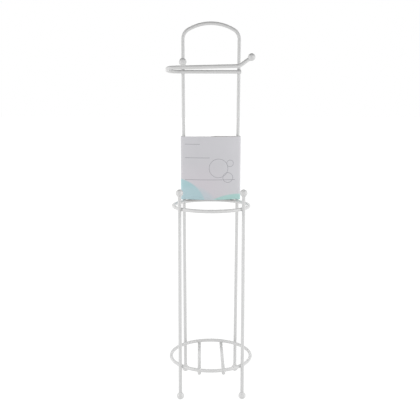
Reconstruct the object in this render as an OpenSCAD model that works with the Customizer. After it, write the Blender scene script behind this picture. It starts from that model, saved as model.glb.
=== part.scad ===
// Free-standing holder for toilet rolls, bent and welded from white coated steel wire.
// One roll hangs on the arm at the top and spare rolls stand in the column below.
// Origin: on the floor, on the axis of the two rings. +Z up, -Y is the front.

/* [Wire and balls] */
// Diameter of the wire in the arch frame and the front legs
frame_wire_d = 6; // [5:0.1:7]
// Diameter of the wire in the two rings
ring_wire_d = 6; // [5:0.1:7]
// Diameter of the two wires under the lower ring
base_wire_d = 6; // [5:0.1:7]
// Diameter of the wire in the roll arm
arm_wire_d = 6.4; // [5:0.1:7]
// Diameter of the steel balls on the wire ends
ball_d = 12.7; // [11:0.1:15]

/* [Rings] */
// Diameter of the lower ring, between wire centres
lower_ring_d = 145; // [138:1:155]
// Height of the lower ring's wire centre above the floor
lower_ring_z = 59; // [45:1:80]
// Diameter of the upper ring, between wire centres
upper_ring_d = 133; // [127:1:140]
// Height of the upper ring's wire centre above the floor
upper_ring_z = 337; // [310:1:345]

/* [Arch frame] */
// Height of the top of the arch above the floor
frame_h = 657; // [640:1:680]
// Distance between the uprights at the floor, between wire centres
upright_gap_foot = 96; // [90:0.5:100]
// Distance between the uprights at the height of the arch's top
upright_gap_top = 99.8; // [96:0.1:104]
// Radius of the arch's crown at the wire centre
crown_r = 80; // [70:1:110]
// Radius of the two shoulder bends at the wire centre
shoulder_r = 19; // [12:1:25]
// Straight wire between a shoulder bend and the crown
crown_feed = 1; // [0.5:0.5:4]

/* [Front legs] */
// Distance between the front legs, between wire centres
leg_gap = 108.6; // [100:0.2:114]
// Height of the balls on top of the front legs, at their centres
finial_z = 365.3; // [358:0.1:400]

/* [Base wires] */
// Distance between the two wires under the lower ring, between wire centres
base_gap = 42; // [30:1:60]
// How far a base wire reaches past the lower ring's wire centre
base_overhang = 1.5; // [0.5:0.1:4]
// Length of the rounded edge on a cut wire end
end_chamfer = 1; // [0.4:0.1:1.5]

/* [Roll arm] */
// How far the rail's wire centre lies below the top of the arch
rail_drop = 86.5; // [80:0.5:100]
// How far the rail runs past the right upright's wire centre
rail_end = 4; // [3:0.5:8]
// How far the turn's back corner reaches out from the left upright's wire centre
turn_out = 28.3; // [24:0.1:36]
// How far the turn's front corner lies inside its back corner
turn_slant = 4; // [0:0.5:8]
// Distance from the rail forward to the arm, between wire centres
arm_reach = 55; // [53:0.5:64]
// Radius of the bend from the rail into the turn, at the wire centre
rail_turn_r = 20; // [12:0.5:26]
// Radius of the bend from the turn into the arm, at the wire centre
arm_turn_r = 12; // [10:0.5:24]
// How much the turn climbs from the rail to the arm
turn_rise = 3.5; // [0:0.5:6]
// Upward slope of the arm towards its open end, in degrees
arm_slope = 1.5; // [0:0.5:4]
// Distance along the arm from the turn's front corner to the stop ball's centre
stop_ball_in = 25.7; // [22:0.1:34]
// Distance from the stop ball's centre to the corner where the arm turns up
roll_room = 95.5; // [90:0.5:110]
// Angle of the upturned end above level, in degrees
upturn_angle = 36; // [20:1:50]
// Distance from that corner to the end ball's centre
upturn_len = 25; // [20:0.5:35]
// Radius of the upturn bend at the wire centre
upturn_r = 12; // [10:0.5:20]

/* [Card sleeve] */
// Height of the card sleeve
card_h = 116; // [100:1:120]
// Thickness of the card
card_t = 0.6; // [0.4:0.1:1]
// Clearance between the sleeve and the uprights
card_clear = 1.4; // [1:0.1:2.5]
// How far the front of the sleeve bows out
card_bow = 9; // [4:0.5:14]
// Width of the glued overlap at the back
card_lap = 18; // [12:1:30]

/* [Bends] */
// How much thinner the wire is in a bend
bend_thinning = 0.02; // [0.02:0.01:0.05]
// How far a straight stretch laps over the end of a bend
bend_lap = 0.2; // [0.1:0.05:0.3]

/* [Seats and welds] */
// How deep two welded wires are pressed into each other
weld_setdown = 0.6; // [0.3:0.1:1]
// Diameter of a weld bead at a crossing of two wires
bead_d = 6; // [5:0.1:6.5]
// Diameter of the larger beads that hold the rail
rail_bead_d = 9.5; // [7:0.1:10]
// Depth of the socket in a ball that takes a wire end
socket_depth = 7; // [5:0.1:8]
// Clearance between a wire end and its socket
socket_clear = 0.05; // [0.02:0.01:0.1]
// Clearance in a seat where one welded piece rests in another
seat_clear = 0.02; // [0.01:0.01:0.05]
// Gap between the loose sleeve and the ring or bead that stops it
rest_gap = 0.3; // [0.2:0.05:0.5]

/* [Hidden] */

coat = [0.93, 0.93, 0.91];
paper = [0.80, 0.80, 0.82];
left = -1;
right = 1;
sides = [left, right];

lower_ring_r = lower_ring_d / 2;
upper_ring_r = upper_ring_d / 2;
ball_r = ball_d / 2;

// A welded leg stands outside a ring by both half thicknesses, less the set-down
leg_stand_off = (frame_wire_d + ring_wire_d) / 2 - weld_setdown;
ring_climb = upper_ring_z - lower_ring_z;

// Front or back distance of a leg's wire centre at a ring, from its distance aside
function leg_y(ring_r, x) = sqrt(pow(ring_r + leg_stand_off, 2) - x * x);

// The front legs lean back as they rise, to touch both rings
leg_x = leg_gap / 2;
leg_y_low = leg_y(lower_ring_r, leg_x);
leg_lean = atan((leg_y_low - leg_y(upper_ring_r, leg_x)) / ring_climb);
leg_y_floor = leg_y_low + lower_ring_z * tan(leg_lean);

// The uprights of the arch frame lean forward in the same way
arch_top_z = frame_h - frame_wire_d / 2;
half_gap_foot = upright_gap_foot / 2;
half_gap_top = upright_gap_top / 2;
function upright_x(z) = half_gap_foot + (half_gap_top - half_gap_foot) * z / arch_top_z;
upright_y_low = leg_y(lower_ring_r, upright_x(lower_ring_z));
upright_y_up = leg_y(upper_ring_r, upright_x(upper_ring_z));
arch_lean = atan((upright_y_low - upright_y_up) / ring_climb);
upright_y_floor = upright_y_low + lower_ring_z * tan(arch_lean);
function upright_y(z) = upright_y_floor - z * tan(arch_lean);

// In the plane of the arch frame, x is aside and s runs up along the plane
arch_top_s = arch_top_z / cos(arch_lean);
splay = atan((half_gap_top - half_gap_foot) / arch_top_s);
crown_s = arch_top_s - crown_r;

// Shoulder centre: shoulder_r inside the upright's line and centre_gap from the crown's centre
line_at_floor = half_gap_foot - shoulder_r / cos(splay);
quad_a = 1 + pow(tan(splay), 2);
quad_b = line_at_floor * tan(splay) - crown_s;
centre_gap = norm([crown_r - shoulder_r, crown_feed]);
quad_c = pow(line_at_floor, 2) + pow(crown_s, 2) - pow(centre_gap, 2);
shoulder_s = (sqrt(quad_b * quad_b - quad_a * quad_c) - quad_b) / quad_a;
shoulder_x = line_at_floor + shoulder_s * tan(splay);
shoulder_angle = atan2(shoulder_s - crown_s, shoulder_x) + atan(crown_feed / (crown_r - shoulder_r));
shoulder_turn = shoulder_angle + splay;

// A wire end stands this far past a ball's centre, short of the socket's bottom
end_past_ball = socket_depth - ball_r - seat_clear;

// Straight part of an upright, measured along the wire from the floor line
upright_foot_s = ball_r / cos(arch_lean) / cos(splay) - end_past_ball;
upright_len = (shoulder_s - shoulder_r * sin(splay)) / cos(splay) - upright_foot_s;

// The rail lies in front of the uprights, pressed into them by the weld set-down
rail_z = frame_h - rail_drop;
rail_off = (frame_wire_d + arm_wire_d) / 2 - weld_setdown;
rail_y = upright_y(rail_z) - rail_off / cos(arch_lean);
turn_x = -upright_x(rail_z) - turn_out;
arm_y = rail_y - arm_reach;
arm_dir = [cos(arm_slope), 0, sin(arm_slope)];
upturn_dir = [cos(upturn_angle), 0, sin(upturn_angle)];
arm_start = [turn_x + turn_slant, arm_y, rail_z + turn_rise];
stop_seat = arm_start + arm_dir * stop_ball_in;
upturn_corner = stop_seat + arm_dir * roll_room;
end_ball_at = upturn_corner + upturn_dir * upturn_len;
stop_ball_off = ball_r + arm_wire_d / 2 - weld_setdown / 2;
stop_ball_at = stop_seat + stop_ball_off * [-sin(arm_slope), 0, cos(arm_slope)];

arm_corners = [
    [upright_x(rail_z) + rail_end, rail_y, rail_z],
    [turn_x, rail_y, rail_z],
    arm_start,
    upturn_corner,
    end_ball_at + upturn_dir * end_past_ball
];
arm_bends = [rail_turn_r, arm_turn_r, upturn_r];

base_x = base_gap / 2;
base_z = lower_ring_z - (ring_wire_d + base_wire_d) / 2 + weld_setdown;
base_half = sqrt(pow(lower_ring_r, 2) - base_x * base_x) + base_overhang;

// The loose sleeve rests on the upper ring and can be pushed up to the rail's weld beads. Its
// creases are centred where the uprights are at the top of that travel
card_in_r = frame_wire_d / 2 + card_clear;
card_drop = (card_in_r + card_bow + card_t) * sin(arch_lean);
card_s = (upper_ring_z + ring_wire_d / 2 + rest_gap + card_drop) / cos(arch_lean);
card_top_s = (rail_z - max(rail_bead_d, arm_wire_d) / 2 - rest_gap) / cos(arch_lean);
card_travel = card_top_s - card_s - card_h;
card_end_x = upright_x(card_top_s * cos(arch_lean));
bow_back = (card_end_x * card_end_x - card_bow * card_bow) / (2 * card_bow);
bow_r = bow_back + card_in_r + card_bow;
bow_angle = atan2(card_end_x, bow_back);

$fn = 72;
ring_fn = 360;
bow_fn = 720;

function unit(v) = v / norm(v);

// Angle between two directions
function angle_of(u, w) = acos(min(1, max(-1, u * w)));

// What a wire bender needs for a path p with bend radii r: the direction of each stretch, the
// angle of each bend, the length that it takes off the stretches beside it, what is fed between
// the bends, and how far the wire is turned about itself before each bend
function stretches(p) = [for (i = [1 : len(p) - 1]) unit(p[i] - p[i - 1])];
function bend_angles(u) = [for (i = [1 : len(u) - 1]) angle_of(u[i - 1], u[i])];
function bend_trims(a, r) = [for (i = [0 : len(a) - 1]) r[i] * tan(a[i] / 2)];
function feeds(p, trim) = [
    for (i = [0 : len(p) - 2])
        norm(p[i + 1] - p[i]) - (i > 0 ? trim[i - 1] : 0) - (i < len(trim) ? trim[i] : 0)
];
function bend_planes(u) = [for (i = [1 : len(u) - 1]) unit(cross(u[i - 1], u[i]))];
function wire_turns(u, k) = [
    for (i = [0 : len(k) - 1])
        i == 0 ? 0 : angle_of(k[i - 1], k[i]) * (cross(k[i - 1], k[i]) * u[i] < 0 ? -1 : 1)
];

// Straight round wire from a to b
module run(a, b, d) {
    v = b - a;
    translate(a)
        rotate([0, acos(v[2] / norm(v)), atan2(v[1], v[0])])
            cylinder(h = norm(v), d = d);
}

// Wire that sets off along Z: feed, turn about itself, bend towards X, and so on. A bend is
// a little thinner than the straight wire, and each straight stretch laps over a bend's end
module laid_wire(feed, turn, angle, r, d, i = 0) {
    lap_before = i > 0 ? bend_lap : 0;
    lap_after = i < len(angle) ? bend_lap : 0;
    translate([0, 0, -lap_before])
        cylinder(h = feed[i] + lap_before + lap_after, d = d);
    if (i < len(angle))
        translate([0, 0, feed[i]])
            rotate([0, 0, turn[i]])
                translate([r[i], 0, 0]) {
                    rotate([90, 0, 180])
                        rotate_extrude(angle = angle[i], $fn = ring_fn)
                            translate([r[i], 0])
                                circle(d = d - bend_thinning);
                    rotate([0, angle[i], 0])
                        translate([-r[i], 0, 0])
                            laid_wire(feed, turn, angle, r, d, i + 1);
                }
}

// Wire bent at each inner corner of a path
module bent_wire(p, r, d) {
    u = stretches(p);
    k = bend_planes(u);
    angle = bend_angles(u);
    x = cross(k[0], u[0]);
    multmatrix([
        [x[0], k[0][0], u[0][0], p[0][0]],
        [x[1], k[0][1], u[0][1], p[0][1]],
        [x[2], k[0][2], u[0][2], p[0][2]],
        [0, 0, 0, 1]
    ])
        laid_wire(feeds(p, bend_trims(angle, r)), wire_turns(u, k), angle, r, d);
}

// Places its children in the leaning plane of the arch frame
module in_arch_plane() {
    translate([0, upright_y_floor, 0])
        rotate([arch_lean, 0, 0])
            children();
}

// Places its children on a front leg's wire centre, with Z along the leg
module on_leg(side) {
    translate([side * leg_x, -leg_y_floor, 0])
        rotate([-leg_lean, 0, 0])
            children();
}

// Places its children on an upright's wire centre, with Z along the upright
module on_upright(side) {
    in_arch_plane()
        translate([side * half_gap_foot, 0, 0])
            rotate([0, side * splay, 0])
                children();
}

// Straight stretch of a leg or upright wire, widened by extra for a seat
module leg_run(side, extra = 0) {
    on_leg(side)
        translate([0, 0, ball_r / cos(leg_lean) - end_past_ball])
            cylinder(h = (finial_z - ball_r) / cos(leg_lean) + 2 * end_past_ball, d = frame_wire_d + extra);
}

module upright_run(side, extra = 0) {
    on_upright(side)
        translate([0, 0, upright_foot_s])
            cylinder(h = upright_len, d = frame_wire_d + extra);
}

module ring(r, z, extra = 0) {
    translate([0, 0, z])
        rotate_extrude($fn = ring_fn)
            translate([r, 0])
                circle(d = ring_wire_d + extra);
}

// All four wires that stand round the rings, widened for their seats
module standing_wires(extra) {
    for (side = sides) {
        leg_run(side, extra);
        upright_run(side, extra);
    }
}

module notched_ring(r, z) {
    difference() {
        ring(r, z);
        standing_wires(2 * seat_clear);
    }
}

// Straight wire along Y with chamfered ends
module base_rod(extra = 0) {
    r = (base_wire_d + extra) / 2;
    rotate([90, 0, 0])
        rotate_extrude()
            polygon([
                [0, -base_half],
                [r - end_chamfer, -base_half],
                [r, end_chamfer - base_half],
                [r, base_half - end_chamfer],
                [r - end_chamfer, base_half],
                [0, base_half]
            ]);
}

module base_wire(side) {
    color(coat)
        difference() {
            translate([side * base_x, 0, base_z])
                base_rod();
            ring(lower_ring_r, lower_ring_z, 2 * seat_clear);
        }
}

// Ball at its own centre, with a socket for a wire that arrives along +Z
module socketed_ball() {
    color(coat)
        difference() {
            sphere(d = ball_d);
            translate([0, 0, ball_r - socket_depth])
                cylinder(h = 2 * ball_r, d = frame_wire_d + 2 * socket_clear);
        }
}

module foot_ball_front(side) {
    on_leg(side)
        translate([0, 0, ball_r / cos(leg_lean)])
            socketed_ball();
}

module finial_ball(side) {
    on_leg(side)
        translate([0, 0, finial_z / cos(leg_lean)])
            rotate([180, 0, 0])
                socketed_ball();
}

module foot_ball_back(side) {
    on_upright(side)
        translate([0, 0, ball_r / cos(arch_lean) / cos(splay)])
            socketed_ball();
}

// Beads where the four standing wires cross a ring
module ring_welds(r, z) {
    contact_r = r + (ring_wire_d - weld_setdown) / 2;
    back_x = upright_x(z);
    crossings = [[leg_x, -leg_y(r, leg_x)], [back_x, leg_y(r, back_x)]];
    color(coat)
        difference() {
            for (side = sides, c = crossings)
                translate([side * c[0], c[1], 0] * contact_r / norm(c) + [0, 0, z])
                    sphere(d = bead_d);
            ring(r, z, 2 * seat_clear);
            standing_wires(2 * seat_clear);
        }
}

module arch_frame() {
    color(coat)
        on_upright(left)
            translate([0, 0, upright_foot_s])
                laid_wire(
                    [upright_len, crown_feed, crown_feed, upright_len], [0, 0, 0],
                    [shoulder_turn, 180 - 2 * shoulder_angle, shoulder_turn],
                    [shoulder_r, crown_r, shoulder_r], frame_wire_d
                );
}

module upper_ring() {
    color(coat)
        notched_ring(upper_ring_r, upper_ring_z);
}

module lower_ring() {
    color(coat)
        notched_ring(lower_ring_r, lower_ring_z);
}

module front_leg(side) {
    color(coat)
        leg_run(side);
}

module roll_arm() {
    color(coat)
        difference() {
            bent_wire(arm_corners, arm_bends, arm_wire_d);
            for (side = sides)
                upright_run(side, 2 * seat_clear);
        }
}

module arm_end_ball() {
    color(coat)
        difference() {
            translate(end_ball_at)
                sphere(d = ball_d);
            run(end_ball_at + upturn_dir * (socket_depth - ball_r), end_ball_at - upturn_dir * ball_d,
                arm_wire_d + 2 * socket_clear);
        }
}

module arm_stop_ball() {
    color(coat)
        difference() {
            translate(stop_ball_at)
                sphere(d = ball_d);
            run(stop_seat - arm_dir * ball_d, stop_seat + arm_dir * ball_d, arm_wire_d + 2 * seat_clear);
        }
}

module upper_ring_welds() {
    ring_welds(upper_ring_r, upper_ring_z);
}

module lower_ring_welds() {
    ring_welds(lower_ring_r, lower_ring_z);
}

// Beads where the base wires cross under the lower ring
module base_wire_welds() {
    cross_y = base_half - base_overhang;
    color(coat)
        difference() {
            for (side = sides, end = sides)
                translate([side * base_x, end * cross_y, lower_ring_z - (ring_wire_d - weld_setdown) / 2])
                    sphere(d = bead_d - 2 * end_chamfer);
            ring(lower_ring_r, lower_ring_z, 2 * seat_clear);
            for (side = sides)
                translate([side * base_x, 0, base_z])
                    base_rod(2 * seat_clear);
        }
}

// Beads where the rail crosses the uprights
module rail_welds() {
    color(coat)
        difference() {
            for (side = sides)
                translate([side * upright_x(rail_z), rail_y + (arm_wire_d - weld_setdown) / 2, rail_z])
                    sphere(d = rail_bead_d);
            for (side = sides)
                upright_run(side, 2 * seat_clear);
            run(arm_corners[0], arm_corners[1], arm_wire_d + 2 * seat_clear);
        }
}

// Bead under the ball that stops the roll on the arm
module stop_ball_weld() {
    bead_off = arm_wire_d / 2 * [-sin(arm_slope), 0, cos(arm_slope)];
    color(coat)
        difference() {
            translate(stop_seat + bead_off)
                sphere(d = bead_d);
            run(stop_seat - arm_dir * ball_d, stop_seat + arm_dir * ball_d, arm_wire_d + 2 * seat_clear);
            translate(stop_ball_at)
                sphere(d = ball_d + 2 * seat_clear);
        }
}

// Card curved round a centre with inner radius r, from angle a0 to a1, drawn in by shrink all round
module curved_card(centre, r, a0, a1, fn, shrink = 0) {
    translate(centre)
        rotate([0, 0, a0])
            rotate_extrude(angle = a1 - a0, $fn = fn)
                translate([r + shrink, shrink])
                    square([card_t - 2 * shrink, card_h - 2 * shrink]);
}

// Crease round an upright, a little thinner than the panels that lap over its ends
module card_crease(x, a0, a1) {
    curved_card([x, 0, 0], card_in_r, a0, a1, $fn, bend_thinning / 2);
}

// Printed card folded round both uprights, its front bowed out, its back lapped and glued
module card_sleeve() {
    front_angle = bow_angle + bend_lap / bow_r * 180 / PI;
    back_half = card_end_x + bend_lap;
    color(paper)
        in_arch_plane()
            translate([0, 0, card_s]) {
                curved_card([0, bow_back, 0], bow_r, 270 - front_angle, 270 + front_angle, bow_fn);
                card_crease(card_end_x, bow_angle - 90, 90);
                card_crease(-card_end_x, 90, 270 - bow_angle);
                translate([-back_half, card_in_r, 0])
                    cube([2 * back_half, card_t, card_h]);
                translate([0, card_in_r + card_t / 2, 0])
                    cube([card_lap, 1.5 * card_t, card_h]);
            }
}

arch_frame();
upper_ring();
lower_ring();
front_leg(left);  // front_leg_left
front_leg(right);  // front_leg_right
base_wire(left);  // base_wire_left
base_wire(right);  // base_wire_right
roll_arm();
arm_end_ball();
arm_stop_ball();
finial_ball(left);  // finial_ball_left
finial_ball(right);  // finial_ball_right
foot_ball_front(left);  // foot_ball_front_left
foot_ball_front(right);  // foot_ball_front_right
foot_ball_back(left);  // foot_ball_back_left
foot_ball_back(right);  // foot_ball_back_right
upper_ring_welds();
lower_ring_welds();
base_wire_welds();
rail_welds();
stop_ball_weld();
card_sleeve();
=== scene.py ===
import math

import bmesh
import bpy
from mathutils import Matrix, Vector, noise


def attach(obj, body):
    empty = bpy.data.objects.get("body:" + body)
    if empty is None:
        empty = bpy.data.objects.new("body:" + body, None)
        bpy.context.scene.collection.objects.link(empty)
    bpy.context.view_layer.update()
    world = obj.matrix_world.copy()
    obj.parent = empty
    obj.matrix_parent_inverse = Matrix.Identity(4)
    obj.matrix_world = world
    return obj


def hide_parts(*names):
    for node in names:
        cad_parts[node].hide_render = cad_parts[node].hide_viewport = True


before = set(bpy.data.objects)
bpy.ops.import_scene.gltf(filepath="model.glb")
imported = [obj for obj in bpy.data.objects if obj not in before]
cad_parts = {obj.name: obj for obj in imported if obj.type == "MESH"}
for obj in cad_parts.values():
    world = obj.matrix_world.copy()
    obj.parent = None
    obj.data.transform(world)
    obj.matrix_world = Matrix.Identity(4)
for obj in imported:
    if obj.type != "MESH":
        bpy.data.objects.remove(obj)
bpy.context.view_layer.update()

mm = 0.001
left, right = -1, 1
upward, toFront = Vector((0, 0, 1)), Vector((0, -1, 0))


class Sock:
    # one socket or number of a node tree, so that a mask reads as plain arithmetic
    def __init__(self, tree, value):
        self.tree = tree
        self.value = value

    def math(self, operation, other=None, swap=False):
        node = self.tree.nodes.new("ShaderNodeMath")
        node.operation = operation
        pair = [self.value, other.value if isinstance(other, Sock) else other]
        if swap:
            pair.reverse()
        for slot, item in zip(node.inputs, pair):
            if isinstance(item, bpy.types.NodeSocket):
                self.tree.links.new(item, slot)
            elif item is not None:
                slot.default_value = item
        return Sock(self.tree, node.outputs[0])

    def __add__(self, other): return self.math("ADD", other)
    def __radd__(self, other): return self.math("ADD", other, True)
    def __sub__(self, other): return self.math("SUBTRACT", other)
    def __rsub__(self, other): return self.math("SUBTRACT", other, True)
    def __mul__(self, other): return self.math("MULTIPLY", other)
    def __rmul__(self, other): return self.math("MULTIPLY", other, True)
    def __lt__(self, other): return self.math("LESS_THAN", other)
    def __gt__(self, other): return self.math("GREATER_THAN", other)
    def __abs__(self): return self.math("ABSOLUTE")


class NodeKit:
    # short ways to add nodes to one tree
    def __init__(self, tree):
        self.tree = tree

    def node(self, kind, settings=None, **sockets):
        # a socket is named with _ for a space, or iN for its number where names repeat
        made = self.tree.nodes.new("ShaderNode" + kind)
        for key, value in (settings or {}).items():
            if key == "stops":
                ramp = made.color_ramp
                while len(ramp.elements) < len(value):
                    ramp.elements.new(0.5)
                for element, (place, tone) in zip(ramp.elements, value):
                    element.position = place
                    element.color = grey(tone)
            else:
                setattr(made, key, value)
        for key, value in sockets.items():
            numbered = key[0] == "i" and key[1:].isdigit()
            self.feed(made.inputs[int(key[1:]) if numbered else key.replace("_", " ")], value)
        return made

    def feed(self, slot, value):
        value = value.value if isinstance(value, Sock) else value
        if isinstance(value, bpy.types.NodeSocket):
            self.tree.links.new(value, slot)
        else:
            slot.default_value = value

    def out(self, made, name=0):
        return Sock(self.tree, made.outputs[name])

    def split(self, vector):
        parts = self.node("SeparateXYZ", Vector=vector)
        return [self.out(parts, i) for i in range(3)]

    def blend(self, mask, first, second):
        return self.node("Mix", {"data_type": "RGBA"}, i0=mask, i6=first, i7=second).outputs[2]


class Paint(NodeKit):
    # one material: constants go on the shader's sockets, the rest through wear and bump
    def __init__(self, name, **constants):
        self.material = bpy.data.materials.new(name)
        self.material.use_nodes = True
        super().__init__(self.material.node_tree)
        self.shader = self.tree.nodes["Principled BSDF"]
        self.wear(**constants)

    def wear(self, **channels):
        for socket, value in channels.items():
            self.feed(self.shader.inputs[socket.replace("_", " ")], value)

    def place(self, scale=(1, 1, 1)):
        # the piece's own coordinates in metres, or stretched
        coords = self.node("TexCoord")
        return self.node("Mapping", Vector=coords.outputs["Object"], Scale=scale).outputs[0]

    def grain(self, scale, detail=2.0, roughness=0.5, stretch=(1, 1, 1)):
        made = self.node("TexNoise", Vector=self.place(stretch), Scale=scale, Detail=detail,
                         Roughness=roughness)
        return self.out(made, "Fac")

    def bump(self, height, strength, distance):
        made = self.node("Bump", Strength=strength, Distance=distance, Height=height)
        self.feed(self.shader.inputs["Normal"], made.outputs[0])


def grey(value, tint=(1, 1, 1)):
    return tuple(value * t for t in tint) + (1,)


coatLook = {
    "thick": 0.680, "thin": 0.650, "tint": (1.0, 1.0, 0.996), "cloud": 55,
    "roughness": 0.30, "cloudRoughness": 0.10, "dust": 2600, "dustRoughness": 0.05,
    "peel": 620, "peelStrength": 0.16, "peelDepth": 0.04 * mm,
    "coat": 0.35, "coatRoughness": 0.12, "ior": 1.5,
}


def powderCoat(name, stretch=(1, 1, 1), roughShift=0.0, peelGain=1.0):
    look = coatLook
    paint = Paint(name, Coat_Weight=look["coat"], Coat_Roughness=look["coatRoughness"], IOR=look["ior"])
    cloud = paint.grain(look["cloud"], detail=3, roughness=0.6, stretch=stretch)    # thinner here and there
    peel = paint.grain(look["peel"], detail=2, roughness=0.45, stretch=stretch)     # orange peel
    dust = paint.grain(look["dust"], detail=1)        # fine grains that didn't melt out
    spread = (cloud - 0.5) * look["cloudRoughness"] + (dust - 0.5) * look["dustRoughness"]
    thin, thick = grey(look["thin"], look["tint"]), grey(look["thick"], look["tint"])
    paint.wear(Base_Color=paint.blend(cloud, thin, thick),
               Roughness=look["roughness"] + roughShift + spread)
    paint.bump(peel, look["peelStrength"] * peelGain, look["peelDepth"])
    return paint.material


print("finishes")
# the peel is drawn out along a wire, and is weaker on a ball and stronger on a weld
uprightCoat = powderCoat("coat_on_upright_wire", stretch=(1, 1, 0.45))
bentCoat = powderCoat("coat_on_bent_wire", stretch=(0.7, 0.7, 1))
baseCoat = powderCoat("coat_on_base_wire", stretch=(1, 0.45, 1))
ballCoat = powderCoat("coat_on_ball", roughShift=-0.06, peelGain=0.7)
weldCoat = powderCoat("coat_on_weld", roughShift=0.06, peelGain=1.8)


def finishPiece(bm, name, materials, node, body="stand"):
    bmesh.ops.recalc_face_normals(bm, faces=bm.faces)
    mesh = bpy.data.meshes.new(name)
    bm.to_mesh(mesh)
    bm.free()
    for material in materials:
        mesh.materials.append(material)
    for face in mesh.polygons:
        face.use_smooth = True
    piece = bpy.data.objects.new(name, mesh)
    bpy.context.scene.collection.objects.link(piece)
    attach(piece, body)
    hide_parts(node)
    return piece


def leaning(place, tilt=0, axis="X"):
    # a frame at a place in mm, tilted by degrees
    return Matrix.Translation(Vector(place) * mm) @ Matrix.Rotation(math.radians(tilt), 4, axis)


def axisOf(place, number):
    return place.to_3x3().col[number].copy()


def madeBy(result, kind):
    return [g for g in result if isinstance(g, kind)]


def pushEdges(bm, edges, way):
    # draws open edges out by a vector, and gives back the new verts and edges
    made = bmesh.ops.extrude_edge_only(bm, edges=edges)["geom"]
    verts = madeBy(made, bmesh.types.BMVert)
    edges = [e for e in madeBy(made, bmesh.types.BMEdge) if all(v in verts for v in e.verts)]
    bmesh.ops.translate(bm, verts=verts, vec=way)
    return verts, edges


def swingEdges(bm, verts, edges, centre, axis, degrees, steps):
    made = bmesh.ops.spin(bm, geom=verts + edges, cent=centre, axis=axis,
                          angle=math.radians(degrees), steps=steps, use_merge=False)["geom_last"]
    return madeBy(made, bmesh.types.BMVert), madeBy(made, bmesh.types.BMEdge)


wireShape = {
    "sides": 28, "stepDegrees": 3, "fewestSteps": 3, "ringSteps": 168,
    # the rounded ends, in shares of the wire's radius
    "face": 0.55, "shoulder": 0.86, "faceRun": 0.10, "shoulderRun": 0.17,
}


def bendWire(bm, start, diameter, moves):
    # start: Z runs along the wire, X points to the inside of the first bend
    shape = wireShape
    place = start.copy()
    radius = diameter / 2
    endRun = (shape["faceRun"] + shape["shoulderRun"]) * radius

    def push(length, grow=1.0):
        way = axisOf(place, 2) * length
        verts, loop = pushEdges(bm, edges, way)
        place.translation = place.translation + way
        if grow != 1.0:
            bmesh.ops.scale(bm, vec=(grow, grow, grow), space=Matrix.Translation(-place.translation),
                            verts=verts)
        return verts, loop

    verts = bmesh.ops.create_circle(bm, cap_ends=True, segments=shape["sides"],
                                    radius=radius * shape["face"], matrix=place)["verts"]
    edges = list({e for v in verts for e in v.link_edges})
    verts, edges = push(radius * shape["faceRun"], shape["shoulder"] / shape["face"])
    verts, edges = push(radius * shape["shoulderRun"], 1 / shape["shoulder"])
    for number, (action, amount, *degrees) in enumerate(moves):
        if action == "feed":
            ends = (number == 0) + (number == len(moves) - 1)
            verts, edges = push(amount * mm - ends * endRun)
        elif action == "turn":
            place = place @ Matrix.Rotation(math.radians(amount), 4, "Z")
        else:
            angle = degrees[0]
            axis = axisOf(place, 1)
            centre = place.translation + axisOf(place, 0) * amount * mm
            steps = max(shape["fewestSteps"], round(angle / shape["stepDegrees"]))
            verts, edges = swingEdges(bm, verts, edges, centre, axis, angle, steps)
            swing = Matrix.Translation(centre) @ Matrix.Rotation(math.radians(angle), 4, axis)
            place = swing @ Matrix.Translation(-centre) @ place
    verts, edges = push(radius * shape["shoulderRun"], shape["shoulder"])
    verts, edges = push(radius * shape["faceRun"], shape["face"] / shape["shoulder"])
    bmesh.ops.edgeloop_fill(bm, edges=edges)


archFrame = {
    "wire": 6.0, "lean": 1.76844, "splay": 0.166376, "footY": 63.0419, "halfGap": 48.0,
    "footStart": 5.72305, "upright": 621.187, "shoulder": 19.0, "shoulderTurn": 60.7618,
    "crown": 80.0, "crownTurn": 58.809, "crownFeed": 1.0,
}


def archPlane():
    return leaning((0, archFrame["footY"], 0), archFrame["lean"])


def uprightFrame(side):
    return archPlane() @ leaning((side * archFrame["halfGap"], 0, 0), side * archFrame["splay"], "Y")


def buildArch():
    part = archFrame
    bm = bmesh.new()
    bendWire(bm, uprightFrame(left) @ leaning((0, 0, part["footStart"])), part["wire"] * mm, [
        ("feed", part["upright"]),
        ("bend", part["shoulder"], part["shoulderTurn"]),
        ("feed", part["crownFeed"]),
        ("bend", part["crown"], part["crownTurn"]),
        ("feed", part["crownFeed"]),
        ("bend", part["shoulder"], part["shoulderTurn"]),
        ("feed", part["upright"]),
    ])
    finishPiece(bm, "arch_wire", [uprightCoat], "arch_frame")


frontLeg = {
    "wire": 6.0, "lean": 1.79814, "halfGap": 54.3, "footY": -57.7085, "footStart": 5.72313,
    "length": 360.387,
}


def legFrame(side):
    return leaning((side * frontLeg["halfGap"], frontLeg["footY"], 0), -frontLeg["lean"])


def buildLeg(side, node):
    bm = bmesh.new()
    start = legFrame(side) @ leaning((0, 0, frontLeg["footStart"]))
    bendWire(bm, start, frontLeg["wire"] * mm, [("feed", frontLeg["length"])])
    finishPiece(bm, node + "_wire", [uprightCoat], node)


rings = {
    "lower_ring": {"radius": 72.5, "height": 59.0, "wire": 6.0},
    "upper_ring": {"radius": 66.5, "height": 337.0, "wire": 6.0},
}


def buildRing(node):
    part = rings[node]
    bm = bmesh.new()
    bmesh.ops.create_circle(bm, segments=wireShape["sides"], radius=part["wire"] / 2 * mm,
                            matrix=leaning((part["radius"], 0, part["height"]), 90))
    bmesh.ops.spin(bm, geom=bm.verts[:] + bm.edges[:], cent=(0, 0, part["height"] * mm), axis=upward,
                   angle=math.tau, steps=wireShape["ringSteps"], use_merge=True)
    finishPiece(bm, node + "_wire", [bentCoat], node)


baseWire = {"wire": 6.0, "x": 21.0, "z": 53.6, "half": 70.892}


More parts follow.
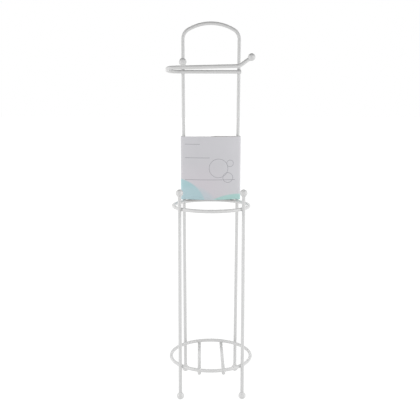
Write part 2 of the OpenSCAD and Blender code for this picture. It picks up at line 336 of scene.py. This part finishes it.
def buildBaseWire(side, node):
    part = baseWire
    bm = bmesh.new()
    start = leaning((side * part["x"], part["half"], part["z"]), 90)
    bendWire(bm, start, part["wire"] * mm, [("feed", 2 * part["half"])])
    finishPiece(bm, node + "_rod", [baseCoat], node)


rollArm = {
    "wire": 6.4, "railEnd": (53.6574, 39.8251, 570.5), "across": (0, -55.0, 3.5),
    "rail": 110.111, "backBend": 20.0, "backTurn": 94.1513, "side": 22.6097, "armRoll": 1.50109,
    "frontBend": 12.0, "frontTurn": 85.7549, "arm": 106.332, "tipRoll": 93.5313,
    "tipBend": 12.0, "upturn": 34.5, "tip": 21.9039,
}


def buildRollArm():
    # the rail runs to the left, turns forward and a little up, runs back as the arm and turns up at its end
    part = rollArm
    along = Vector((-1, 0, 0))
    inward = Vector(part["across"]).normalized()
    start = Matrix((inward, along.cross(inward), along)).transposed().to_4x4()
    start.translation = Vector(part["railEnd"]) * mm
    bm = bmesh.new()
    bendWire(bm, start, part["wire"] * mm, [
        ("feed", part["rail"]),
        ("bend", part["backBend"], part["backTurn"]),
        ("feed", part["side"]),
        ("turn", part["armRoll"]),
        ("bend", part["frontBend"], part["frontTurn"]),
        ("feed", part["arm"]),
        ("turn", part["tipRoll"]),
        ("bend", part["tipBend"], part["upturn"]),
        ("feed", part["tip"]),
    ])
    finishPiece(bm, "roll_arm_wire", [bentCoat], "roll_arm")


print("wires")
buildArch()
buildLeg(left, "front_leg_left")
buildLeg(right, "front_leg_right")
for ringNode in rings:
    buildRing(ringNode)
buildBaseWire(left, "base_wire_left")
buildBaseWire(right, "base_wire_right")
buildRollArm()


ball = {
    "diameter": 12.7, "segments": 56, "rings": 40, "collar": 0.5, "collarDegrees": 6.5,
    "finialHeight": 365.3, "endAt": (67.4265, -15.1749, 591.867), "endTilt": 36.0,
    "stopAt": (-48.5084, -15.1749, 583.920), "stopTilt": 1.5, "stopNeck": 4.4,
}


def buildBall(node, centre, wireWay, neck):
    # wireWay is the direction in which a wire, or a bead as wide as the neck, leaves the ball
    part = ball
    bm = bmesh.new()
    bmesh.ops.create_uvsphere(bm, u_segments=part["segments"], v_segments=part["rings"],
                              radius=part["diameter"] / 2 * mm)
    mouth = math.degrees(math.asin(neck / part["diameter"]))
    for v in bm.verts:      # the coat draws up into a small fillet where the wire goes in
        past = max(math.degrees(v.co.angle(upward)) - mouth, 0)
        v.co += v.co.normalized() * part["collar"] * math.exp(-(past / part["collarDegrees"]) ** 2) * mm
    swing = upward.rotation_difference(wireWay).to_matrix().to_4x4()
    bmesh.ops.transform(bm, matrix=Matrix.Translation(centre) @ swing, verts=bm.verts)
    finishPiece(bm, node + "_coated", [ballCoat], node)


def placeBalls():
    # the foot balls stand on the floor, the finials at one height
    radius = ball["diameter"] / 2
    legRise = math.cos(math.radians(frontLeg["lean"]))
    uprightRise = math.cos(math.radians(archFrame["lean"])) * math.cos(math.radians(archFrame["splay"]))
    for side, word in ((left, "left"), (right, "right")):
        leg, upright = legFrame(side), uprightFrame(side)
        legUp, uprightUp = axisOf(leg, 2), axisOf(upright, 2)
        legWire, uprightWire = frontLeg["wire"], archFrame["wire"]
        footAt = leg @ Vector((0, 0, radius / legRise * mm))
        finialAt = leg @ Vector((0, 0, ball["finialHeight"] / legRise * mm))
        backAt = upright @ Vector((0, 0, radius / uprightRise * mm))
        buildBall("foot_ball_front_" + word, footAt, legUp, legWire)
        buildBall("finial_ball_" + word, finialAt, -legUp, legWire)
        buildBall("foot_ball_back_" + word, backAt, uprightUp, uprightWire)
    endWay = -axisOf(leaning((0, 0, 0), 90 - ball["endTilt"], "Y"), 2)
    stopWay = -axisOf(leaning((0, 0, 0), -ball["stopTilt"], "Y"), 2)
    buildBall("arm_end_ball", Vector(ball["endAt"]) * mm, endWay, rollArm["wire"])
    buildBall("arm_stop_ball", Vector(ball["stopAt"]) * mm, stopWay, ball["stopNeck"])


print("balls")
placeBalls()


welds = {
    "ringBead": (2.6, 2.2, 3.1), "baseBead": (3.2, 3.4, 2.2),        # half sizes across, out and up
    "railBead": (4.6, 3.9, 4.7), "stopBead": (3.9, 3.2, 1.9),
    "lowerLegs": (54.3, -55.8562), "lowerUprights": (48.1714, 61.2203),
    "upperLegs": (54.3, -47.13), "upperUprights": (48.979, 52.6371), "ringReach": 2.7,
    "baseAt": (21.0, 69.4, 56.3), "railAt": (49.657, 42.725, 570.5), "stopAt": (-48.35, -15.1749, 577.87),
    "ripple": 0.09, "coarse": 1.7, "fine": 4.3, "fineShare": 0.4, "seedStride": 3.1, "smoothness": 4,
}


def addBead(bm, centre, facing, size, seed):
    # a bead whose middle axis faces out of the crossing
    facing = Vector(facing).normalized()
    across = upward.cross(facing).normalized()
    place = Matrix((across, facing, across.cross(facing) * -1)).transposed().to_4x4()
    place.translation = Vector(centre) * mm
    made = bmesh.ops.create_icosphere(bm, subdivisions=welds["smoothness"], radius=1)["verts"]
    for v in made:
        coarse = noise.noise(v.co * welds["coarse"] + Vector((seed * welds["seedStride"], 0, 0)))
        fine = noise.noise(v.co * welds["fine"] + Vector((0, seed, 0)))
        v.co *= 1 + welds["ripple"] * (coarse + welds["fineShare"] * fine)
    bmesh.ops.transform(bm, matrix=place @ Matrix.Diagonal((*(s * mm for s in size), 1)), verts=made)


def buildWelds(node, beads, size, seed):
    bm = bmesh.new()
    for number, (centre, facing) in enumerate(beads):
        addBead(bm, centre, facing, size, number + seed)
    finishPiece(bm, node + "_beads", [weldCoat], node)


def ringCrossings(ring, legs, uprights):
    # where the four standing wires touch the ring: the bead sits between the two wires
    reach = rings[ring]["radius"] + welds["ringReach"]
    for x, y in (legs, uprights):
        for side in (left, right):
            way = Vector((side * x, y, 0)).normalized()
            yield (way.x * reach, way.y * reach, rings[ring]["height"]), way


def weldWires():
    lowerBeads = ringCrossings("lower_ring", welds["lowerLegs"], welds["lowerUprights"])
    upperBeads = ringCrossings("upper_ring", welds["upperLegs"], welds["upperUprights"])
    baseX, baseY, baseZ = welds["baseAt"]
    baseBeads = [((x, y, baseZ), (0, y, 0)) for y in (-baseY, baseY) for x in (-baseX, baseX)]
    railX, railY, railZ = welds["railAt"]
    railBeads = [((side * railX, railY, railZ), toFront) for side in (left, right)]
    buildWelds("lower_ring_welds", lowerBeads, welds["ringBead"], seed=59)
    buildWelds("upper_ring_welds", upperBeads, welds["ringBead"], seed=337)
    buildWelds("base_wire_welds", baseBeads, welds["baseBead"], seed=9)
    buildWelds("rail_welds", railBeads, welds["railBead"], seed=17)
    buildWelds("stop_ball_weld", [(welds["stopAt"], toFront)], welds["stopBead"], seed=23)


print("welds")
weldWires()


cardPrint = {
    "ground": ((0.555, 0.552, 0.577, 1), (0.620, 0.613, 0.639, 1)),
    "upper": (0.610, 0.605, 0.641, 1), "upperShare": 0.3, "foot": 341.0, "head": 457.0,
    "right": (0.740, 0.735, 0.765, 1), "rightGrowth": 0.002, "leftEdge": -50,
    "rounds": (      # centre x and z, radius, half width of the soft edge, strength and colour
        (-22, 352, 44, 22, 0.5, (0.642, 0.590, 0.642, 1)),         # faint rose
        (48, 252, 99.5, 1.2, 1.0, (0.396, 0.635, 0.604, 1)),       # mint
        (-66, 322, 58, 1.2, 1.0, (0.385, 0.588, 0.626, 1)),        # teal
        (-34, 316, 48, 4, 0.5, (0.470, 0.605, 0.655, 1)),          # paler overlap
    ),
    "rings": ((14, 399, 17), (31, 382, 9), (35, 408, 6)), "ringLine": 0.36,
    "rules": ((442.5, -47, -20), (418, -47, -2), (378, -47, 44)), "ruleLine": 0.4,
    "ink": (0.19, 0.19, 0.22, 1), "inkShare": 0.75, "backAt": 63, "backLean": 0.031,
    "fleck": (0.74, 0.74, 0.74, 1), "fleckShare": 0.05, "fleckSpread": 0.10,
    "cloud": 26, "fibre": 1500,
    "roughness": 0.42, "roughSpread": 0.12, "bump": 0.10, "bumpDepth": 0.02 * mm,
}


def printedFace():
    # plain print: lilac-grey ground, soft teal and mint rounds at the foot, thin outline rings and rules
    look = cardPrint
    paint = Paint("printed_card", Coat_Weight=0.2, Coat_Roughness=0.35, IOR=1.45)
    x, y, z = paint.split(paint.place((1000, 1000, 1000)))        # millimetres
    cloud = paint.grain(look["cloud"])
    fibre = paint.grain(look["fibre"], detail=3, roughness=0.6, stretch=(1, 1, 0.5))

    def away(cx, cz):
        dx, dz = x - cx, z - cz
        return (dx * dx + dz * dz).math("SQRT")

    def ranged(value, start, end, first, last):
        return paint.out(paint.node("MapRange", Value=value, i1=start, i2=end, i3=first, i4=last))

    colour = paint.blend(cloud, *look["ground"])
    height = ranged(z, look["foot"], look["head"], 0.0, 1.0)
    colour = paint.blend(height * look["upperShare"], colour, look["upper"])
    colour = paint.blend((x - look["leftEdge"]) * look["rightGrowth"], colour, look["right"])
    for cx, cz, radius, soft, strength, tone in look["rounds"]:
        inside = ranged(away(cx, cz), radius - soft, radius + soft, 1.0, 0.0)
        colour = paint.blend(inside * strength, colour, tone)
    lines = 0
    for cx, cz, radius in look["rings"]:
        lines = (abs(away(cx, cz) - radius) < look["ringLine"]) + lines
    for row, start, end in look["rules"]:
        lines = (abs(z - row) < look["ruleLine"]) * (x > start) * (x < end) + lines
    onFace = y + z * look["backLean"] < look["backAt"]        # the back stays free of lines
    colour = paint.blend(lines.math("MINIMUM", 1.0) * onFace * look["inkShare"], colour, look["ink"])
    colour = paint.blend((fibre - 0.5) * look["fleckSpread"] + look["fleckShare"], colour, look["fleck"])
    paint.wear(Base_Color=colour, Roughness=look["roughness"] + (fibre - 0.5) * look["roughSpread"])
    paint.bump(fibre, look["bump"], look["bumpDepth"])
    return paint.material


boardLook = {
    "inside": 0.72, "insideFibre": 900, "cutEdge": 0.74, "cutEdgeFibre": 1800, "cloud": 90,
    "darker": -0.08, "darkTint": (1, 0.985, 0.95), "lighter": 0.04, "lightTint": (1, 0.99, 0.97),
    "fibreShare": 0.6, "roughness": 0.78, "roughSpread": 0.15, "bump": 0.25, "bumpDepth": 0.03 * mm,
}


def bareBoard(name, tone, fibreSize):
    look = boardLook
    paint = Paint(name, IOR=1.4)
    fibre = paint.grain(fibreSize, detail=4, roughness=0.65, stretch=(1, 1, 0.4))
    cloud = paint.grain(look["cloud"], detail=3, roughness=0.6)
    mottle = fibre * look["fibreShare"] + cloud * (1 - look["fibreShare"])
    dark = grey(tone + look["darker"], look["darkTint"])
    light = grey(tone + look["lighter"], look["lightTint"])
    paint.wear(Base_Color=paint.blend(mottle, dark, light),
               Roughness=look["roughness"] + (fibre - 0.5) * look["roughSpread"])
    paint.bump(fibre, look["bump"], look["bumpDepth"])
    return paint.material


card = {
    "low": 340.894, "tall": 116.0, "thick": 0.6, "creaseIn": 4.4, "endX": 49.6427,
    "bowBack": 132.411, "bowAngle": 20.5517, "lap": 18.0, "joggle": 1.2, "joggleOut": 1.02, "underGap": 0.3,
    "rows": 24, "backSteps": 16, "creaseSteps": 14, "bowSteps": 48, "sideSteps": 10, "lapSteps": 6,
    "waver": 0.28, "waverAcross": 0.028, "waverUp": 0.022, "waverSeed": 4.2,
    "faceLift": 0.9, "backLow": 1.0, "backLowEnd": 7.0, "backLowFade": 8.0, "cutPower": 12,
    "faceStarts": 1.2, "backStarts": 0.9, "edge": 0.12, "edgeSegments": 2, "edgeAngle": 50,
}


def foldSheet(bm, plane):
    # it starts under its own lap on the back, goes round both uprights and ends on top of the lap
    part = card
    turn = plane.to_3x3()
    up = axisOf(plane, 2)

    def at(x, y, z=0.0):
        return plane @ (Vector((x, y, z)) * mm)

    def slide(edges, way, times=1):
        for _ in range(times):
            verts, edges = pushEdges(bm, edges, turn @ (Vector(way) * mm) / times)
        return verts, edges

    def crease(x, verts, edges):
        return swingEdges(bm, verts, edges, at(x, 0), up, 180 - part["bowAngle"], part["creaseSteps"])

    under = part["lap"] - part["joggle"] - part["underGap"]
    back = part["creaseIn"] + part["thick"] / 2
    start = [bm.verts.new(at(under, back, z)) for z in (0, part["tall"])]
    bmesh.ops.subdivide_edges(bm, edges=[bm.edges.new(start)], cuts=part["rows"] - 1)
    verts, edges = slide(bm.edges[:], (-part["endX"] - under, 0, 0), part["backSteps"])
    verts, edges = crease(-part["endX"], verts, edges)
    verts, edges = swingEdges(bm, verts, edges, at(0, part["bowBack"]), up, 2 * part["bowAngle"],
                              part["bowSteps"])
    verts, edges = crease(part["endX"], verts, edges)
    verts, edges = slide(edges, (part["lap"] - part["endX"], 0, 0), part["sideSteps"])
    verts, edges = slide(edges, (-part["joggle"], part["thick"] * part["joggleOut"], 0))
    slide(edges, (part["joggle"] - part["lap"], 0, 0), part["lapSteps"])


def wearSheet(bm, plane):
    # the bowed face wavers and is cut a little short at its foot, and the back at its top left
    part = card
    turn = plane.to_3x3()
    for v in bm.verts:
        spot = plane.inverted() @ v.co / mm
        share = spot.z / part["tall"]
        if spot.y < -part["creaseIn"] * part["faceStarts"]:
            noiseAt = Vector((spot.x * part["waverAcross"], spot.z * part["waverUp"], part["waverSeed"]))
            lift = part["faceLift"] * (1 - share) ** part["cutPower"]
            v.co += turn @ Vector((0, noise.noise(noiseAt) * part["waver"], lift)) * mm
        elif spot.y > part["creaseIn"] * part["backStarts"]:
            leftShare = min(max((part["backLowEnd"] - spot.x) / part["backLowFade"], 0), 1)
            drop = part["backLow"] * share ** part["cutPower"] * leftShare
            v.co -= turn @ Vector((0, 0, drop)) * mm


def buildCard():
    part, look = card, boardLook
    plane = archPlane() @ leaning((0, 0, part["low"]))
    bm = bmesh.new()
    foldSheet(bm, plane)
    wearSheet(bm, plane)
    papers = [
        printedFace(),
        bareBoard("card_inside", look["inside"], look["insideFibre"]),
        bareBoard("card_cut_edge", look["cutEdge"], look["cutEdgeFibre"]),
    ]
    sheet = finishPiece(bm, "card_sleeve_printed", papers, "card_sleeve", "card_sleeve")
    board = sheet.modifiers.new("board", "SOLIDIFY")
    board.thickness = part["thick"] * mm
    board.offset = 0
    board.material_offset = 1
    board.material_offset_rim = 2
    edge = sheet.modifiers.new("cut_edge", "BEVEL")
    edge.width = part["edge"] * mm
    edge.segments = part["edgeSegments"]
    edge.profile = 0.5
    edge.material = -1
    edge.affect = "EDGES"
    edge.limit_method = "ANGLE"
    edge.angle_limit = math.radians(part["edgeAngle"])
    edge.harden_normals = True


print("card")
buildCard()


studio = {
    "cameraAt": (-0.0197, -1.0984, 0.5089), "pitch": 9.313, "yaw": -0.926, "roll": -0.12,
    "focal": 628.1, "photoWidth": 420, "clipStart": 0.05,        # the focal length is in pixels
    "sky": ((0.0, 0.86), (0.46, 0.95), (0.54, 1.0), (0.75, 1.12), (1.0, 1.1)), "cameraDim": 0.2,
    "floorHalf": 30, "floorTone": 0.08, "floorGlow": 0.99, "mottle": 0.1, "mottleScale": 3,
    "flagAt": (0, 0.08, 0.90), "flagRadius": 0.46, "flagTone": 0.02,
    "lamps": (("side_left", (-1.6, -0.5, 0.4)), ("side_right", (1.6, -0.5, 0.4))),
    "lampSize": 1.2, "lampPower": 6.0, "lampAim": (0, 0, 0.35),
}


def stagePlate(bm, name, tone, glow=0.0):
    mesh = bpy.data.meshes.new(name)
    bm.to_mesh(mesh)
    bm.free()
    paint = Paint(name + "_paint", Roughness=0.9, Specular_IOR_Level=0.0,
                  Emission_Color=grey(1), Emission_Strength=glow)
    dark, light = grey(tone * (1 - studio["mottle"])), grey(tone * (1 + studio["mottle"]))
    paint.wear(Base_Color=paint.blend(paint.grain(studio["mottleScale"]), dark, light))
    mesh.materials.append(paint.material)
    plate = bpy.data.objects.new(name, mesh)
    bpy.context.scene.collection.objects.link(plate)
    return plate


def layFloor():
    # white to the camera alone: the light from below comes from the room, a little softer
    bm = bmesh.new()
    bmesh.ops.create_grid(bm, x_segments=8, y_segments=8, size=studio["floorHalf"])
    floor = stagePlate(bm, "pale_floor", studio["floorTone"], studio["floorGlow"])
    floor.visible_diffuse = False
    floor.visible_glossy = False
    floor.visible_shadow = False


def hangFlag():
    # a dark disc over the stand, which the camera doesn't see, keeps the tops of the high wires darker
    bm = bmesh.new()
    bmesh.ops.create_circle(bm, cap_ends=True, segments=48, radius=studio["flagRadius"],
                            matrix=Matrix.Translation(studio["flagAt"]))
    stagePlate(bm, "light_flag", studio["flagTone"]).visible_camera = False


def lightRoom():
    world = bpy.data.worlds.new("soft_studio")
    bpy.context.scene.world = world
    world.use_nodes = True
    world.node_tree.nodes.clear()
    kit = NodeKit(world.node_tree)
    y, z = kit.split(kit.node("TexCoord").outputs["Generated"])[1:]
    sky = kit.node("ValToRGB", {"stops": studio["sky"]}, Fac=z * 0.5 + 0.5).outputs[0]
    front = (y * -1).math("MAXIMUM", 0.0)       # the room is darker round the camera
    around = kit.blend(front * front * studio["cameraDim"], sky, grey(0.0))
    room = kit.node("Background", Color=around).outputs[0]
    white = kit.node("Background", Color=grey(1)).outputs[0]
    eye = kit.node("LightPath")
    seen = kit.node("MixShader", i0=eye.outputs["Is Camera Ray"], i1=room, i2=white)
    kit.node("OutputWorld", Surface=seen.outputs[0])


def hangLamps():
    for name, place in studio["lamps"]:
        lamp = bpy.data.lights.new(name, "AREA")
        lamp.size = studio["lampSize"]
        lamp.energy = studio["lampPower"]
        holder = bpy.data.objects.new(name, lamp)
        holder.location = place
        aim = Vector(studio["lampAim"]) - Vector(place)
        holder.rotation_euler = aim.to_track_quat("-Z", "Y").to_euler()
        bpy.context.scene.collection.objects.link(holder)


def setCamera():
    part = studio
    lens = bpy.data.cameras.new("photo_camera")
    lens.sensor_fit = "HORIZONTAL"
    lens.lens = part["focal"] / part["photoWidth"] * lens.sensor_width
    lens.clip_start = part["clipStart"]
    eye = bpy.data.objects.new("photo_camera", lens)
    eye.matrix_world = (Matrix.Translation(part["cameraAt"])
                        @ Matrix.Rotation(math.radians(part["yaw"]), 4, "Z")
                        @ Matrix.Rotation(math.radians(-part["pitch"]), 4, "X")
                        @ Matrix.Rotation(math.radians(part["roll"]), 4, "Y")
                        @ Matrix.Rotation(math.radians(90), 4, "X"))      # unturned it looks down
    bpy.context.scene.collection.objects.link(eye)
    bpy.context.scene.camera = eye


print("studio")
layFloor()
hangFlag()
lightRoom()
hangLamps()
setCamera()
bpy.context.scene.view_settings.view_transform = "Standard"
